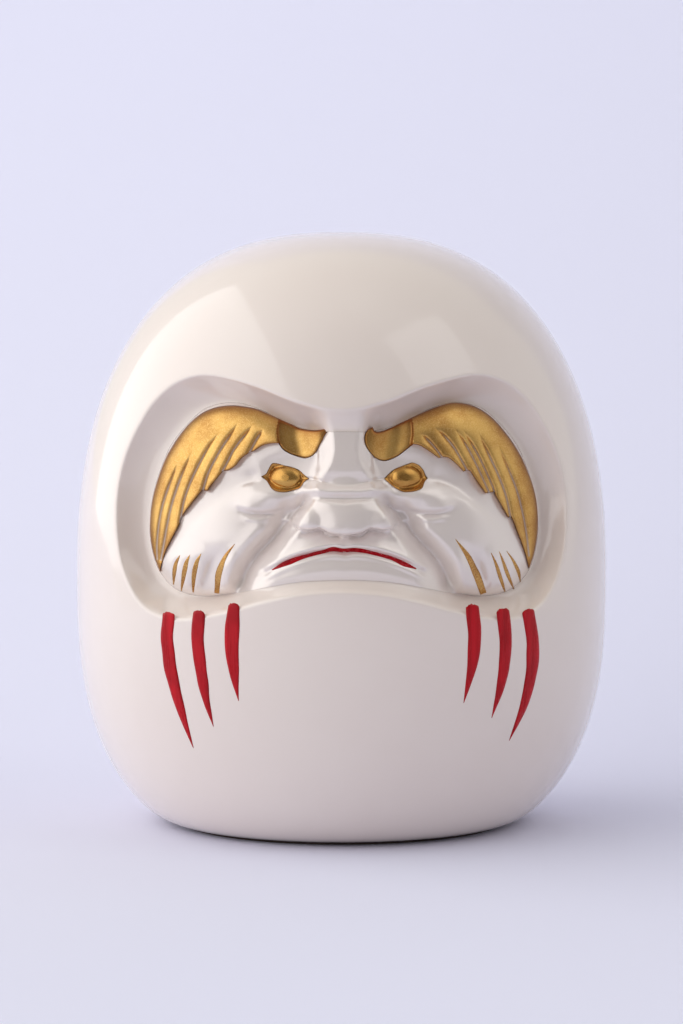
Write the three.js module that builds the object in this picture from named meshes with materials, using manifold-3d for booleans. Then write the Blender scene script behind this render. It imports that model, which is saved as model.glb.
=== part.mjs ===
// A daruma doll, 120 mm tall. A hollow moulded-pulp body has a broad recess in its front. A relief
// mask is set in the recess, with two gilded brows and two gilded eyes on it. A clay weight stands on
// the base plate that closes the foot, and a thin disc of dark card is glued under it all.
//
// Millimetres. +Z is up, and Z = 0 is the surface the doll stands on. The face looks along -Y, so the
// pieces named _left are at -X, on the viewer's left. The origin is the centre of the foot.
import * as THREE from "three";
import { mergeVertices } from "three/addons/utils/BufferGeometryUtils.js";
import Module from "manifold-3d";

const wasm = await Module();
wasm.setup();

// ---- Driving dimensions -------------------------------------------------------------------------

const HEIGHT = 120;
const WIDTH = 108;
const DEPTH = 104;
const GAP = 0.3; // between glued pieces
const SHELL_WALL = 2.6;

// The body's outline in front view: two superelliptic arcs that meet at the belly.
const BELLY_Z = 50.5;
const CROWN = { along: 2.3, across: 2.5 };
const FOOT = { along: 2.7, across: 2.95, reach: 57.6 }; // reach: belly down to where the arc would close

// The foot, from the floor up.
const FOOT_DISC = { radius: 33.5, thick: 0.5 };
const SHELL_BOTTOM = 0.6;
const FOOT_ROUND = 4.4; // how far the foot's rounded edge rises above its underside
const PLATE = { radius: 30.7, thick: 2 };
const FLOOR_WALL = 5; // the shell turned in round the foot opening
const MOUTH_RADIUS = 27; // the opening that the wet pulp is drawn through
const WEIGHT = { radius: 26.2, height: 13, edge: 3 };

// The face. Depths are measured back from the body's own surface, along +Y.
const FACE_DEPTH = 8;
const MASK_WALL = 2.4;
const BROW_THICK = 2.6;
const CUTTER_REACH = 0.45; // how far a recess cutter stands out past the rim, as a share of the wall

// Outlines in front view as [x, z], from the top centre round the +X side to the bottom centre.
const RIM = [
  [0, 84.6], [8, 86], [16.5, 89.3], [25.5, 91.2], [34, 88], [40, 79.6], [43.4, 69], [43.6, 60],
  [41.2, 51.6], [36.4, 46.3], [30, 45.1], [20, 47.4], [10, 50.1], [0, 51],
];
const MASK_EDGE = [
  [0, 80.6], [7, 81.4], [14, 84.3], [21.2, 85.5], [28.6, 82.7], [33.4, 76], [36.2, 67.5], [36.8, 60.5],
  [35.2, 53.8], [32, 49.8], [27, 48.6], [18.5, 50.2], [9, 52.3], [0, 52.8],
];
// The brow at +X, from its inner tip over the top to the outer tip and back along the hair ends.
const BROW = [
  [3.2, 80.6], [6.5, 80.8], [11.4, 82.4], [16.3, 84.3], [21.3, 84.9], [27.6, 82.9], [31.2, 79.2],
  [34, 73.8], [35.9, 67.2], [36.3, 60], [34.9, 53.6], [33.2, 58.4], [29.8, 64.2], [26, 69.6],
  [21.2, 73.9], [16.6, 77.1], [11.8, 78.1], [6.8, 75.6],
];

// Relief bosses of the mask: centre and half-size as [x, z], and how proud of the mask they stand.
const BOSSES = [
  { at: [0, 74], half: [4.6, 7], proud: 3.4 }, // nose bridge
  { at: [0, 66], half: [6.5, 5.4], proud: 5.2 }, // nose tip
  { at: [0, 64.6], half: [10.6, 3.7], proud: 4.2 }, // nose wings
  { at: [0, 57.4], half: [15.5, 4.6], proud: 3.6 }, // upper lip
  { at: [0, 54.8], half: [18.5, 4.2], proud: 3.2 }, // chin
  { at: [25, 60], half: [10.5, 11], proud: 2.8 }, // cheeks
  { at: [-25, 60], half: [10.5, 11], proud: 2.8 },
];
const EYE = { at: [11.5, 72.2], half: [3.9, 2.6], proud: 2.6 };

const SIDES = 48; // facets round the body
const RISE_STEPS = 11; // rings in each arc of its outline
const OUTLINE_STEPS = 60; // facets round an outline

// ---- Shapes -------------------------------------------------------------------------------------

/** Half the body's width at a height. */
function bodyRadius(z) {
  const half = WIDTH / 2;
  if (z >= BELLY_Z) {
    const rise = Math.min(1, (z - BELLY_Z) / (HEIGHT - BELLY_Z));
    return half * Math.pow(1 - Math.pow(rise, CROWN.along), 1 / CROWN.across);
  }
  return half * Math.pow(1 - Math.pow((BELLY_Z - z) / FOOT.reach, FOOT.along), 1 / FOOT.across);
}

/** The Y of the body's front surface at a place in front view. */
function frontY(x, z) {
  const radius = bodyRadius(z);
  const across = Math.min(1, Math.abs(x) / radius);
  return (-DEPTH / WIDTH) * radius * Math.sqrt(1 - across * across);
}

/** A closed three.js geometry as a manifold-3d solid, facing out. */
function solid(geometry) {
  const bare = geometry.index ? geometry.toNonIndexed() : geometry.clone();
  bare.deleteAttribute("normal");
  bare.deleteAttribute("uv");
  const merged = mergeVertices(bare, 1e-4);
  const corners = merged.index.array;
  const triangles = [];
  for (let i = 0; i < corners.length; i += 3) {
    const [a, b, c] = corners.slice(i, i + 3);
    if (a !== b && b !== c && c !== a) triangles.push(a, b, c);
  }
  const build = (order) =>
    new wasm.Manifold(
      new wasm.Mesh({
        numProp: 3,
        vertProperties: merged.attributes.position.array,
        triVerts: Uint32Array.from(order),
      }),
    );
  const made = build(triangles);
  return made.volume() > 0 ? made : build(triangles.reverse());
}

/** A manifold-3d solid as a three.js geometry. */
function geometryOf(made) {
  const mesh = made.getMesh();
  const geometry = new THREE.BufferGeometry();
  const places = [];
  for (let i = 0; i < mesh.numVert; i++) {
    places.push(...mesh.vertProperties.subarray(i * mesh.numProp, i * mesh.numProp + 3));
  }
  geometry.setAttribute("position", new THREE.Float32BufferAttribute(places, 3));
  geometry.setIndex(new THREE.BufferAttribute(mesh.triVerts, 1));
  const flat = geometry.toNonIndexed();
  flat.computeVertexNormals();
  return flat;
}

/** A solid turned about Z from [radius, z] points, squeezed front to back as the body is. */
function turned(points) {
  const lathe = new THREE.LatheGeometry(points.map(([r, z]) => new THREE.Vector2(r, z)), SIDES);
  return solid(lathe.rotateX(Math.PI / 2).scale(1, DEPTH / WIDTH, 1));
}

/** The foot's rounded edge, from its underside up to where the body's outline starts. */
function footTurn() {
  const high = SHELL_BOTTOM + FOOT_ROUND;
  const radius = bodyRadius(high);
  const slope = (bodyRadius(high + 0.1) - radius) / 0.1;
  const curve = new THREE.QuadraticBezierCurve(
    new THREE.Vector2(FOOT_DISC.radius + 0.4, SHELL_BOTTOM),
    new THREE.Vector2(radius - slope * FOOT_ROUND, SHELL_BOTTOM),
    new THREE.Vector2(radius, high),
  );
  return curve.getPoints(6).slice(0, -1).map((p) => [p.x, p.y]);
}

/** The body's outline from above its foot's edge to its crown. */
function bodyProfile() {
  const points = [];
  for (let i = 0; i < RISE_STEPS; i++) {
    const z = THREE.MathUtils.lerp(SHELL_BOTTOM + FOOT_ROUND, BELLY_Z, i / RISE_STEPS);
    points.push([bodyRadius(z), z]);
  }
  for (let i = 0; i < RISE_STEPS; i++) {
    const z = BELLY_Z + (HEIGHT - BELLY_Z) * Math.sin((i / RISE_STEPS) * (Math.PI / 2));
    points.push([bodyRadius(z), z]);
  }
  return points;
}

/** The whole body, with no hollow and no recess. */
function bodyBlank() {
  return turned([[0, SHELL_BOTTOM], ...footTurn(), ...bodyProfile(), [0, HEIGHT]]);
}

/** The space inside the body, one wall in from its outside. */
function cavityBlank() {
  const half = WIDTH / 2;
  const inward = (z) => BELLY_Z + (z - BELLY_Z) * ((HEIGHT - SHELL_WALL - BELLY_Z) / (HEIGHT - BELLY_Z));
  const walls = bodyProfile()
    .map(([r, z]) => [(r * (half - SHELL_WALL)) / half, inward(z)])
    .filter(([, z]) => z > FLOOR_WALL);
  return turned([[0, FLOOR_WALL], [walls[0][0] - 1, FLOOR_WALL], ...walls, [0, HEIGHT - SHELL_WALL]]);
}

/** A closed outline from its +X half, as [x, z] places. */
function outline(half) {
  const right = half.map(([x, z]) => new THREE.Vector3(x, 0, z));
  const left = half.slice(1, -1).reverse().map(([x, z]) => new THREE.Vector3(-x, 0, z));
  const curve = new THREE.CatmullRomCurve3([...right, ...left], true, "centripetal");
  return Array.from({ length: OUTLINE_STEPS }, (_, i) => {
    const p = curve.getPoint(i / OUTLINE_STEPS);
    return [p.x, p.z];
  });
}

/** A solid through closed rings of points, made by moving a cylinder's rings onto them. */
function loft(rings) {
  const sides = rings[0].length;
  const tube = new THREE.CylinderGeometry(1, 1, 1, sides, rings.length - 1);
  const places = tube.attributes.position;
  for (let i = 0; i < places.count; i++) {
    const [x, y, z] = [places.getX(i), places.getY(i), places.getZ(i)];
    const ring = rings[Math.round((0.5 - y) * (rings.length - 1))];
    const turn = Math.round((Math.atan2(x, z) / (2 * Math.PI)) * sides + sides) % sides;
    const centre = ring.reduce((sum, p) => sum.map((v, k) => v + p[k] / sides), [0, 0, 0]);
    places.setXYZ(i, ...(Math.hypot(x, z) < 0.5 ? centre : ring[turn]));
  }
  return solid(tube);
}

/** A straight prism through the front half, from a closed outline in front view. */
function prism(places) {
  return loft([0, -DEPTH].map((y) => places.map(([x, z]) => [x, y, z])));
}

/** An outline moved outwards by a distance. */
function grown(places, by) {
  const turn = Math.sign(THREE.ShapeUtils.area(places.map(([x, z]) => new THREE.Vector2(x, z))));
  return places.map(([x, z], i) => {
    const [ahead, back] = [places[(i + 1) % places.length], places.at(i - 1)];
    const [dx, dz] = [ahead[0] - back[0], ahead[1] - back[1]];
    const step = (turn * by) / Math.hypot(dx, dz);
    return [x + dz * step, z - dx * step];
  });
}

const blank = bodyBlank();

/** The body's solid moved back, so that its front surface lies at a depth behind the real one. */
const behind = (depth) => blank.translate([0, depth, 0]);

/** What cuts the recess: it narrows from the rim to the mask's edge, and ends on the recess floor. */
function recessCutter(floorDepth, margin) {
  const rim = grown(outline(RIM), margin);
  const edge = grown(outline(MASK_EDGE), margin);
  const ring = (share, depth) =>
    rim.map(([x, z], i) => {
      const [u, w] = [x + (edge[i][0] - x) * share, z + (edge[i][1] - z) * share];
      return [u, frontY(u, w) + depth, w];
    });
  const outside = ring(-CUTTER_REACH, -CUTTER_REACH * FACE_DEPTH);
  const front = outside.map(([x, , z]) => [x, -DEPTH, z]);
  const rings = [ring(1, 3 * FACE_DEPTH), ring(1, FACE_DEPTH), ring(0, 0), outside, front];
  return loft(rings).subtract(behind(floorDepth));
}

/** An ellipsoid boss, its middle on the mask's surface. */
function boss({ at: [x, z], half: [rx, rz], proud }, swell = 0) {
  const ball = new THREE.SphereGeometry(1, 16, 12).rotateX(Math.PI / 2);
  ball.scale(rx + swell, proud + swell, rz + swell);
  return solid(ball.translate(x, frontY(x, z) + FACE_DEPTH, z));
}

// ---- Pieces -------------------------------------------------------------------------------------

const RECESS_FLOOR = FACE_DEPTH + MASK_WALL + GAP;
const mirror = (places) => places.map(([x, z]) => [-x, z]);
const brows = { left: mirror(BROW), right: BROW };
const eyes = { left: { ...EYE, at: [-EYE.at[0], EYE.at[1]] }, right: EYE };

function bodyShell() {
  const hollow = cavityBlank().subtract(recessCutter(RECESS_FLOOR + SHELL_WALL, SHELL_WALL));
  const mouth = turned([[0, -1], [MOUTH_RADIUS, -1], [MOUTH_RADIUS, FLOOR_WALL + 1], [0, FLOOR_WALL + 1]]);
  const rabbetTop = SHELL_BOTTOM + PLATE.thick + GAP;
  const rabbetRadius = PLATE.radius + GAP;
  const rabbet = turned([[0, -1], [rabbetRadius, -1], [rabbetRadius, rabbetTop], [0, rabbetTop]]);
  return blank
    .subtract(hollow)
    .subtract(recessCutter(RECESS_FLOOR, 0))
    .subtract(mouth)
    .subtract(rabbet);
}

function faceMask() {
  const edge = prism(grown(outline(MASK_EDGE), -GAP));
  const bosses = BOSSES.map((b) => boss(b)).reduce((all, one) => all.add(one));
  const underBrows = Object.values(brows)
    .map((places) => prism(grown(places, GAP)))
    .reduce((all, one) => all.add(one))
    .subtract(behind(FACE_DEPTH));
  const sockets = Object.values(eyes).map((eye) => boss(eye, GAP));
  return sockets
    .reduce((face, socket) => face.subtract(socket), behind(FACE_DEPTH).add(bosses.subtract(underBrows)))
    .intersect(edge)
    .subtract(behind(FACE_DEPTH + MASK_WALL));
}

const brow = (places) =>
  prism(places)
    .intersect(behind(FACE_DEPTH - GAP - BROW_THICK))
    .subtract(behind(FACE_DEPTH - GAP));

const eye = (place) => boss(place).subtract(behind(FACE_DEPTH + MASK_WALL));

function basePlate() {
  const [low, high] = [SHELL_BOTTOM, SHELL_BOTTOM + PLATE.thick];
  return turned([[0, low], [PLATE.radius, low], [PLATE.radius, high], [0, high]]);
}

function baseWeight() {
  const low = SHELL_BOTTOM + PLATE.thick + GAP;
  const high = low + WEIGHT.height;
  return turned([
    [0, low], [WEIGHT.radius, low], [WEIGHT.radius, high - 2 * WEIGHT.edge],
    [WEIGHT.radius - WEIGHT.edge, high - WEIGHT.edge], [WEIGHT.radius / 2, high - WEIGHT.edge / 3], [0, high],
  ]);
}

function footDisc() {
  const { radius, thick } = FOOT_DISC;
  return turned([[0, 0], [radius, 0], [radius, thick], [0, thick]]);
}

// ---- Materials and assembly ---------------------------------------------------------------------

const finish = (color, roughness, metalness = 0) =>
  new THREE.MeshStandardMaterial({ color, roughness, metalness });
const whiteLacquer = finish(0xe6dedb, 0.12);
const pearlLacquer = finish(0xe4dfdc, 0.35);
const gilding = finish(0xc79a45, 0.38, 0.9);
const bakedClay = finish(0xa9774f, 0.9);
const greyBoard = finish(0x8d857c, 0.9);
const darkCard = finish(0x2b2220, 0.9);

const doll = new THREE.Group();

function place(name, made, material) {
  const mesh = new THREE.Mesh(geometryOf(made), material);
  mesh.name = name;
  doll.add(mesh);
}

place("body_shell", bodyShell(), whiteLacquer);
place("face_mask", faceMask(), pearlLacquer);
for (const side of ["left", "right"]) {
  place(`brow_${side}`, brow(brows[side]), gilding);
  place(`eye_${side}`, eye(eyes[side]), gilding);
}
place("base_weight", baseWeight(), bakedClay);
place("base_plate", basePlate(), greyBoard);
place("foot_disc", footDisc(), darkCard);

export default doll;
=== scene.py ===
import math

import bpy
import numpy as np
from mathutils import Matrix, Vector
from mathutils.geometry import delaunay_2d_cdt


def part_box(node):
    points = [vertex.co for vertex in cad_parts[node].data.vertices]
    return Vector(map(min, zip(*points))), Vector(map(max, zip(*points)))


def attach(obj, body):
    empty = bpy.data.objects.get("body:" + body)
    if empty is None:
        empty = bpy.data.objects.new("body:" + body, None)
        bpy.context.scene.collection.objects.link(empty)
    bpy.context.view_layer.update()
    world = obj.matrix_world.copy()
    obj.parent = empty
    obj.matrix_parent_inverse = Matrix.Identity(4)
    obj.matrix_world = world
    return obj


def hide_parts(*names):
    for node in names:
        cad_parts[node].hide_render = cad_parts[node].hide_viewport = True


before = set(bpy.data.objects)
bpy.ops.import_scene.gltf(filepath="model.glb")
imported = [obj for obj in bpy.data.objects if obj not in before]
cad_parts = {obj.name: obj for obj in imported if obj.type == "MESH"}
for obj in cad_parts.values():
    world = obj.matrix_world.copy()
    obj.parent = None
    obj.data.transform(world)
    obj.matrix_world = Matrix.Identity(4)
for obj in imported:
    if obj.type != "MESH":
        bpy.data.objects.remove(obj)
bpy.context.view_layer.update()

# A daruma doll: a glossy off-white body with a relief face in a niche, gold brows and eyes, and brush
# strokes in red and gold. Shapes are worked out in millimetres in the CAD frame and turned to metres as each
# mesh is made. The face looks along -Y, and "left" is the viewer's left, at -X.

MM = 0.001

# ---- Dimensions ----


def node_box(node):
    """A CAD node's lowest and highest corners, in millimetres."""
    low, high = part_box(node)
    return np.array(low) / MM, np.array(high) / MM


shell_low, shell_high = node_box("body_shell")
plate_low, plate_high = node_box("base_plate")
weight_low, weight_high = node_box("base_weight")
disc_low, disc_high = node_box("foot_disc")

HALF_WIDTH = shell_high[0]
SQUASH = shell_high[1] / shell_high[0]  # front to back against side to side
TOP = shell_high[2]
BOTTOM = shell_low[2]
BELLY = 50.5  # the height where the body is widest
CROWN_ALONG, CROWN_ACROSS = 2.3, 2.5  # the powers of the superellipse above the belly
FOOT_ALONG, FOOT_ACROSS, FOOT_REACH = 2.7, 2.95, 57.6  # those below, and where it would close
FOOT_ROUND = 4.4  # the height of the foot's rounded edge
FOOT_LIP = 0.4  # the flat underside shows this much beyond the card disc
WALL = 2.6  # the shell's thickness
GAP = 0.3  # glue line between pieces
OPENING_RADIUS = 27.0  # the shell is drawn off its mould through this
FLOOR_TOP = 5.0  # the top of the shell's floor

FACE_DEPTH = 8.0  # the mask's ground, behind the body's surface along Y
MASK_WALL = 2.4
RECESS_FLOOR = FACE_DEPTH + MASK_WALL + GAP
FACE_X = 0.7  # the moulded face sits a little off the body's middle
EDGE_X = 0.5  # and so does its edge
MASK_INSET = 0.02  # the fine line between the mask and the niche
RIM_FILLET = 0.55
COVE = 1.75  # how much steeper the niche's wall is at its rim than at its foot
# Rings round the niche: points in each, distances in from the rim of the first ones, and how many follow.
RIM_POINTS = 440
RIM_STEPS = [-2.0, -1.2, -0.8, -0.55, -0.4, -0.25, -0.1, 0.05, 0.2, 0.35, 0.55]
WALL_RINGS = 15
SHOULDER = 6.5  # over this, the shell's inner side slopes from the outer wall in behind the niche

COLUMNS = 192  # points round the turned pieces
ROW_STEP = 1.7
CAVITY_STEP = 3.2

PAINT_FILM = 0.06
PAINT_LIFT = 0.004  # the film's back stands this far off what it is painted on

# Outlines in front view, (x, z), from the top centre round one side to the bottom centre.
RIM = [(0, 84.6), (8, 86.0), (16.5, 89.2), (25.3, 91.2), (31.3, 90.0), (36, 86.3), (39.6, 80.9),
       (42.2, 75.0), (43.6, 68.6), (43.8, 62.4), (42.9, 55.8), (40.7, 50.3), (37.9, 46.9), (34.4, 45.4),
       (30.5, 45.1), (25.5, 46.0), (20.5, 47.3), (14.4, 49.0), (8, 50.4), (0, 51.0)]
MASK_EDGE = [(0, 80.6), (6.5, 80.8), (11.5, 82.5), (16.5, 84.9), (21.3, 86.0), (26.5, 84.9), (30.3, 81.7),
             (33.4, 77.9), (35.4, 73.6), (36.9, 69), (37.7, 64), (37.6, 59), (36.2, 54.0), (33.4, 50.6),
             (30.2, 49.2), (26, 48.9), (20.5, 49.8), (14, 51.4), (7.5, 52.5), (0, 52.8)]

# Each brow's outline, as runs that meet at its corners: the inner end, the outer edge, the ends of the hairs.
BROW_LEFT = [
    [(-2.6, 80.7), (-2.9, 81.1), (-5.1, 80.8), (-7.8, 81.1), (-9.8, 82.0), (-13.7, 83.7), (-16.6, 84.8),
     (-20.6, 85.35), (-23.9, 85.0), (-26.5, 84.0), (-28.8, 82.3), (-30.7, 80.2), (-32.4, 77.8), (-33.9, 75.2),
     (-35.1, 72.3), (-36.1, 69.2), (-36.8, 66.0), (-37.1, 62.8), (-37.0, 59.7), (-36.4, 56.6), (-35.1, 53.2)],
    [(-35.1, 53.2), (-34.6, 55.0), (-33.7, 57.6), (-32.3, 60.3), (-30.9, 63.0)],
    [(-30.9, 63.0), (-30.7, 63.9), (-29.4, 65.8), (-27.9, 67.7), (-26.5, 69.4)],
    [(-26.5, 69.4), (-25.9, 69.2), (-25.4, 69.3)],
    [(-25.4, 69.3), (-25.0, 70.1), (-23.9, 71.4), (-22.6, 73.0)],
    [(-22.6, 73.0), (-22.0, 73.1), (-21.4, 73.2)],
    [(-21.4, 73.2), (-20.2, 74.0), (-18.9, 75.6), (-17.4, 76.6)],
    [(-17.4, 76.6), (-16.6, 76.9), (-15.0, 77.9), (-13.4, 78.3), (-11.9, 78.4)],
    [(-11.9, 78.4), (-11.2, 77.3), (-9.8, 76.4), (-7.8, 75.7), (-6.6, 75.6), (-5.2, 76.3), (-4.0, 78.3),
     (-3.2, 79.8), (-2.6, 80.7)],
]
BROW_RIGHT = [
    [(5.9, 81.4), (4.8, 80.8), (4.3, 79.3), (4.7, 77.7), (5.9, 76.1), (7.2, 75.2), (8.7, 75.1), (10.6, 75.9),
     (12.1, 77.0), (13.6, 78.2)],
    [(13.6, 78.2), (14.9, 77.9), (16.7, 76.8), (18.5, 75.5)],
    [(18.5, 75.5), (19.3, 75.7), (20.4, 75.5), (21.7, 74.5), (23.2, 72.9)],
    [(23.2, 72.9), (24.0, 73.1), (24.6, 72.9)],
    [(24.6, 72.9), (25.1, 72.1), (26.4, 70.2), (27.5, 68.7)],
    [(27.5, 68.7), (28.4, 68.8), (29.2, 68.9)],
    [(29.2, 68.9), (29.9, 67.5), (31.2, 65.3), (32.0, 63.9)],
    [(32.0, 63.9), (32.7, 63.8), (33.9, 60.8), (35.1, 57.7), (36.3, 53.8)],
    [(36.3, 53.8), (37.3, 56.5), (38.0, 60.2), (38.1, 64.1), (37.6, 68.0), (36.4, 71.8), (34.8, 75.3),
     (32.8, 78.5), (30.4, 81.5), (28.3, 83.5), (26.1, 84.9), (23.8, 85.7), (21.6, 85.9), (19.7, 85.6),
     (16.8, 84.6), (12.9, 82.9), (9.1, 81.1), (7.3, 80.5), (6.3, 80.6), (5.9, 81.4)],
]
# The cuts between the hairs, from the top of each to its open end, and each cut's width.
CUTS_LEFT = [
    ([(-14.8, 81.0), (-16.1, 79.1), (-16.9, 77.6), (-17.4, 76.6)], 0.34),
    ([(-16.6, 81.9), (-18.4, 79.8), (-20.4, 77.2), (-21.5, 75.1), (-22.6, 73.0)], 0.34),
    ([(-19.3, 82.5), (-20.9, 80.2), (-22.8, 77.4), (-24.3, 74.8), (-25.5, 72.3), (-26.4, 69.4)], 0.36),
    ([(-22.7, 80.9), (-25.2, 77.8), (-26.8, 75.0), (-28.1, 72.5), (-29.2, 70.0), (-30.2, 67.0),
      (-30.9, 63.0)], 0.34),
    ([(-28.0, 77.6), (-29.4, 74.8), (-30.7, 71.9), (-31.9, 68.6), (-32.8, 65.6), (-33.5, 62.4),
      (-34.2, 58.6), (-34.8, 55.6)], 0.36),
    ([(-30.9, 75.6), (-32.1, 72.7), (-33.4, 69.4), (-34.5, 66.0), (-35.2, 62.4), (-35.6, 58.6),
      (-35.6, 55.6)], 0.32),
]
CUTS_RIGHT = [
    ([(15.0, 80.2), (16.7, 78.6), (18.0, 77.1), (19.0, 75.7)], 0.3),
    ([(17.6, 81.3), (19.4, 79.8), (21.2, 77.7), (22.9, 74.9), (23.9, 73.0)], 0.34),
    ([(21.4, 81.2), (22.9, 79.2), (24.3, 76.9), (25.7, 74.2), (27.0, 71.4), (28.2, 68.8)], 0.32),
    ([(23.1, 80.9), (24.5, 78.6), (26.1, 75.9), (27.6, 72.8), (28.9, 69.9), (29.2, 68.9)], 0.3),
    ([(26.0, 80.6), (27.3, 77.8), (28.7, 74.9), (30.3, 71.4), (31.6, 67.8), (32.4, 63.9)], 0.36),
    ([(29.6, 78.9), (30.9, 75.8), (32.4, 72.4), (33.8, 68.8), (34.8, 65.0), (35.6, 61.0),
      (36.2, 56.3)], 0.32),
]
# Each eye's outline, as the run over its top and the run under it.
EYE_LEFT = [
    [(-15.2, 72.0), (-14.3, 72.5), (-13.8, 73.4), (-13.2, 74.4), (-12.3, 74.5), (-10.8, 74.1), (-9.4, 73.8),
     (-8.1, 73.3), (-7.2, 72.5), (-6.2, 71.7)],
    [(-6.2, 71.7), (-7.1, 71.1), (-7.8, 70.1), (-8.9, 69.6), (-10.5, 69.2), (-12.1, 69.3), (-13.2, 69.9),
     (-14.1, 71.2), (-15.2, 72.0)],
]
EYE_RIGHT = [
    [(8.1, 71.7), (9.0, 72.6), (10.0, 73.4), (11.5, 74.0), (12.9, 74.5), (13.6, 74.6), (14.7, 74.1),
     (15.5, 73.2), (15.9, 72.3), (16.3, 71.7)],
    [(16.3, 71.7), (15.7, 71.0), (15.2, 69.9), (14.0, 69.4), (12.6, 69.2), (11.4, 69.3), (10.0, 70.1),
     (8.9, 71.0), (8.1, 71.7)],
]
BALL_LEFT, BALL_RIGHT = (-10.6, 71.9), (12.2, 71.9)
BALL_HALF = (3.1, 2.4)

# Painted strokes in front view: the middle line from the top, and the half-width at each of its points.
# "l" is at -X and "r" at +X. The red ones are numbered from left to right on each side.
RED_STROKES = {
    "l1": ([(-32.9, 45.6), (-33.2, 40.5), (-32.4, 34.5), (-30.7, 27.5), (-28.3, 20.0)],
           [1.2, 1.3, 1.2, 0.85, 0.05]),
    "l2": ([(-26.9, 46.2), (-27.2, 41.5), (-26.7, 36.0), (-25.8, 30.5), (-24.3, 24.6)],
           [1.15, 1.25, 1.15, 0.8, 0.05]),
    "l3": ([(-20.2, 47.9), (-20.6, 43.8), (-20.6, 39.5), (-20.2, 35.0), (-19.4, 29.9)],
           [1.05, 1.35, 1.3, 0.85, 0.05]),
    "r1": ([(24.6, 47.4), (25.1, 43.3), (25.0, 39.0), (24.3, 34.5), (23.1, 29.3)],
           [1.25, 1.3, 1.15, 0.75, 0.05]),
    "r2": ([(30.6, 46.4), (31.2, 41.5), (31.0, 36.5), (30.1, 31.3), (28.6, 26.0)],
           [1.2, 1.25, 1.1, 0.75, 0.05]),
    "r3": ([(35.7, 45.9), (36.6, 40.0), (36.4, 34.0), (34.9, 27.7), (32.2, 21.1)],
           [1.25, 1.3, 1.15, 0.8, 0.05]),
}
# The cheeks' strokes are numbered from the outer one inwards.
CHEEK_STROKES = {
    "l1": ([(-30.9, 56.8), (-31.7, 55.2), (-32.1, 53.3), (-32.3, 50.9)], [0.05, 0.36, 0.4, 0.1]),
    "l2": ([(-28.9, 57.0), (-29.7, 55.2), (-30.2, 52.8), (-30.8, 49.7)], [0.05, 0.42, 0.42, 0.1]),
    "l3": ([(-26.7, 57.3), (-27.6, 55.5), (-28.2, 52.8), (-28.4, 49.6)], [0.05, 0.4, 0.44, 0.12]),
    "l4": ([(-20.2, 59.3), (-22.0, 56.9), (-23.3, 53.6), (-23.8, 49.6)], [0.05, 0.34, 0.6, 0.5]),
    "r4": ([(21.6, 60.2), (23.9, 57.0), (25.7, 53.4), (27.2, 49.4)], [0.05, 0.45, 0.68, 0.6]),
    "r3": ([(28.5, 57.4), (29.4, 55.4), (30.4, 52.5), (31.5, 49.4)], [0.05, 0.26, 0.36, 0.12]),
    "r2": ([(30.1, 57.6), (30.9, 55.6), (31.9, 52.9), (33.3, 49.9)], [0.05, 0.26, 0.36, 0.12]),
    "r1": ([(31.6, 57.6), (32.9, 55.7), (34.0, 53.5), (34.6, 51.2)], [0.05, 0.24, 0.34, 0.1]),
}
MOUTH = ([(-13.1, 54.6), (-10.5, 55.9), (-7.0, 57.2), (-3.4, 58.15), (-1.6, 58.6), (0.3, 58.3), (2.7, 58.45),
          (5.7, 57.9), (9.3, 56.9), (11.8, 55.8), (14.1, 54.8)],
         [0.1, 0.44, 0.36, 0.34, 0.46, 0.4, 0.42, 0.34, 0.34, 0.44, 0.12])

# ---- Curves and regions ----

BATCH = 4000  # points measured at a time, to bound the memory used


def smooth(points, steps=12):
    """A Catmull-Rom curve through open points."""
    p = np.array(points, float)
    p = np.vstack([2 * p[0] - p[1], p, 2 * p[-1] - p[-2]])
    t = np.linspace(0, 1, steps, endpoint=False)[:, None]
    a, b, c, d = p[:-3], p[1:-2], p[2:-1], p[3:]
    parts = [
        0.5 * (2 * q1 + (q2 - q0) * t + (2 * q0 - 5 * q1 + 4 * q2 - q3) * t**2
               + (3 * q1 - q0 - 3 * q2 + q3) * t**3)
        for q0, q1, q2, q3 in zip(a, b, c, d)
    ]
    return np.vstack(parts + [p[-2:-1]])


def resample(line, spacing):
    """A polyline's points at even steps, both ends kept."""
    lengths = np.r_[0, np.cumsum(np.hypot(*np.diff(line, axis=0).T[:2]))]
    places = np.linspace(0, lengths[-1], max(2, int(round(lengths[-1] / spacing)) + 1))
    return np.column_stack([np.interp(places, lengths, line[:, k]) for k in range(line.shape[1])])


def trace(points, spacing=0.5):
    """A smooth line through open points, in even steps."""
    return resample(smooth(points), spacing)


def looped(ring):
    """A closed outline as a line that ends where it starts."""
    return np.vstack([ring, ring[:1]])


def closed_outline(runs, spacing):
    """A closed outline from runs of points that meet end to end."""
    return np.vstack([trace(run, spacing)[:-1] for run in runs])


def mirrored(half, shift=0.0, steps=12):
    """A closed smooth outline from its +X half."""
    right = [(x + shift, z) for x, z in half]
    left = [(shift - x, z) for x, z in half[-2:0:-1]]
    ring = right + left
    curve = smooth(ring[-2:] + ring + ring[:2], steps)
    return curve[2 * steps : (2 + len(ring)) * steps]


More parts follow.
